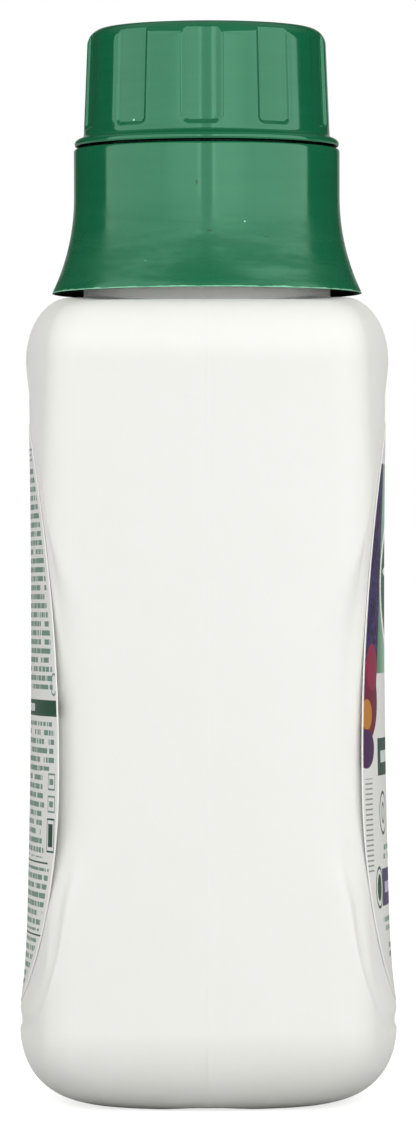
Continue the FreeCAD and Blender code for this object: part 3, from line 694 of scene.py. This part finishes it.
def fine_print(tree, across, up, box, ragged):
    """Rows of small bars like lines of type: uneven at their ends and broken into words."""
    rows = arithmetic(tree, "DIVIDE", up, PRINT_PITCH)
    row, part = arithmetic(tree, "FLOOR", rows), arithmetic(tree, "FRACT", rows)
    masks = [within(tree, part, 0.16, 0.74), block(tree, across, up, *box)]
    for width, share in ((0.62, 0.16), (4.3, 0.06)):
        step = arithmetic(tree, "FLOOR", arithmetic(tree, "DIVIDE", across, width))
        cell = node(tree, "ShaderNodeCombineXYZ", {0: step, 1: row}).outputs[0]
        chance = node(tree, "ShaderNodeTexWhiteNoise", {"Vector": cell}, noise_dimensions="2D").outputs[0]
        masks.append(arithmetic(tree, "GREATER_THAN", chance, share))
    chance = node(tree, "ShaderNodeTexWhiteNoise", {"W": row}, noise_dimensions="1D").outputs[0]
    masks.append(arithmetic(tree, "GREATER_THAN", across, ramp(tree, chance, 0, 1, box[0], box[0] + ragged)))
    return product(tree, *masks)


def start_film(name, half_width):
    """A film material with its place in millimetres, the fields inside its margins and its plain white,
    brighter along the edge as a partly painted highlight.
    """
    made, tree = empty_material(name)
    where = node(tree, "ShaderNodeTexCoord").outputs["Object"]
    scaled = node(tree, "ShaderNodeVectorMath", {0: where, 1: (1000, 1000, 1000)}, operation="MULTIPLY")
    split = node(tree, "ShaderNodeSeparateXYZ", {0: scaled.outputs[0]})
    across, up = split.outputs["X"], split.outputs["Z"]
    place = node(tree, "ShaderNodeCombineXYZ", {0: across, 1: up}).outputs[0]
    above = arithmetic(tree, "GREATER_THAN", up, LABEL_MIDDLE)
    inner = []
    for margin in (EDGE_MARGIN, PRINT_MARGIN):
        upper, lower = [disc(tree, place, (0, LABEL_MIDDLE), (half_width - margin, rise - margin))
                        for rise in (LABEL_ABOVE, LABEL_BELOW)]
        inner.append(node(tree, "ShaderNodeMix", {0: above, 2: lower, 3: upper}).outputs[0])
    # The brighter white band along the edge is partly the film's white edge and partly a painted highlight of
    # the edge catching light.
    return made, tree, place, across, up, inner, cover(tree, EDGE_WHITE_AND_HIGHLIGHT, inner[0], FILM_WHITE)


def end_film(tree, colour):
    """The thin satin varnish over the print."""
    surface(tree, {"Base Color": colour, "Roughness": 0.34, "IOR": 1.49, "Specular IOR Level": 0.2})


def front_film():
    """Front: a violet and green field with discs, then bands, rings and a scale of short ticks."""
    made, tree, place, across, up, inner, ink = start_film("printed_polypropylene_film_front", FRONT_HALF)
    side = arithmetic(tree, "ABSOLUTE", across)
    cells = node(tree, "ShaderNodeTexVoronoi", {"Vector": place, "Scale": 0.75, "Randomness": 0.9})
    grapes = cover(tree, "#4c3a7c", ramp(tree, cells.outputs["Distance"], 0.1, 0.75), "#1c1030")
    leaf = cover(tree, "#a9cdb6", ramp(tree, side, 6, 30), "#2c6b49")
    ink = cover(tree, ink, product(tree, inner[0], within(tree, up, LEAF_FOOT, FIELD_TOP)), leaf)
    outer = arithmetic(tree, "GREATER_THAN", side, ramp(tree, up, FIELD_FOOT, FIELD_TOP, 29, 15))
    ink = cover(tree, ink, product(tree, inner[0], within(tree, up, FIELD_FOOT, FIELD_TOP), outer), grapes)
    discs = [((0, 122), (22, 15), PRINTED_WHITE), ((0, 122), (19.5, 12.5), "#1c5f3f")]
    for hand in (-1, 1):
        discs += [((40 * hand, 95), (12.5, 9.5), CRIMSON), ((39 * hand, 92), (5, 3.6), "#b9792f"),
                  ((33.5 * hand, 103), (6, 5.5), "#8c2244"), ((40 * hand, 84), (8, 4.6), "#43204f")]
    for middle, reach, code in discs:
        ink = cover(tree, ink, product(tree, inner[0], disc(tree, place, middle, reach)), code)
    ink = cover(tree, ink, disc(tree, place, (0, 125.5), (15, 1.2)), PRINTED_WHITE)
    for box, code in (((-27.5, 27.5, 77.4, 86.2), DARK_GREEN), ((-23, 23, 80.4, 83.2), "#c9d8cf"),
                      ((-24.5, 24.5, 46.6, 55.4), VIOLET), ((-20, 20, 49.6, 52.2), "#b9aecb")):
        ink = cover(tree, ink, product(tree, inner[0], block(tree, across, up, *box)), code)
    rings = [((turn, 68.5), reach, hole) for turn in (-20, 0, 20) for reach, hole in (((6.2, 5.2), 0.86),
                                                                                      ((2.6, 2.6), 0.7))]
    rings += [((turn, 51.2), reach, hole) for turn in (-28.5, 28.5) for reach, hole in (((4.6, 5), 0.86),
                                                                                        ((2.7, 3.2), 0.0))]
    for middle, reach, hole in rings:
        ink = cover(tree, ink, disc(tree, place, middle, reach, hole), DARK_GREEN)
    for box in ((-22, 22, 57.6, 61.8), (-24, 24, 40.2, 44.4), (-18, 18, 34, 38.2)):
        ink = cover(tree, ink, fine_print(tree, across, up, box, 4.0), GREY_GREEN)
    tick = arithmetic(tree, "FRACT", arithmetic(tree, "DIVIDE", up, 1.2))
    marks = product(tree, within(tree, tick, 0, 0.34), block(tree, side, up, 34.5, 41.5, 55, 77), inner[0])
    end_film(tree, cover(tree, ink, marks, "#8d918e"))
    return made


def back_film():
    """Back: rows of fine print, a solid band, a column of small boxes and two rules."""
    made, tree, place, across, up, inner, ink = start_film("printed_polypropylene_film_back", BACK_HALF)
    side = arithmetic(tree, "ABSOLUTE", across)
    mirrored = arithmetic(tree, "MULTIPLY", side, -1.0)
    for box in ((-46, 0, 98, 150.5), (-46, 0, 79, 90.4), (-37, 0, 58.5, 79), (-46, 0, 41.2, 56.2),
                (-46, 0, 24, 39.4)):
        ink = cover(tree, ink, product(tree, inner[1], fine_print(tree, mirrored, up, box, 7.0)), GREY_GREEN)
    for box, code in (((-47, 47, 91.7, 95.5), DARK_GREEN), ((-21, 21, 92.7, 94.5), "#c4d2ca"),
                      ((-40, 40, 57.2, 57.6), DARK_GREEN), ((-40, 40, 40.1, 40.5), DARK_GREEN)):
        ink = cover(tree, ink, product(tree, inner[0], block(tree, across, up, *box)), code)
    for low, high, foot, top, code in ((39, 45, 74.5, 78.5, GREY_GREEN), (39, 45, 69.3, 73.3, GREY_GREEN),
                                       (38.6, 45, 60.0, 68.0, DARK_GREEN),
                                       (-1, 17, 151.9, 154.8, GREY_GREEN)):
        for inset, paint in ((0.0, code), (0.45, FILM_WHITE), (1.3, code)):
            mask = block(tree, side, up, low + inset, high - inset, foot + inset, top - inset)
            ink = cover(tree, ink, mask, paint)
    ring = disc(tree, place, (-43.2, 99.2), (2.5, 2.7), 0.8)
    end_film(tree, cover(tree, ink, product(tree, inner[0], ring), GREY_GREEN))
    return made


finish_cad("front_label", front_film())
finish_cad("back_label", back_film())
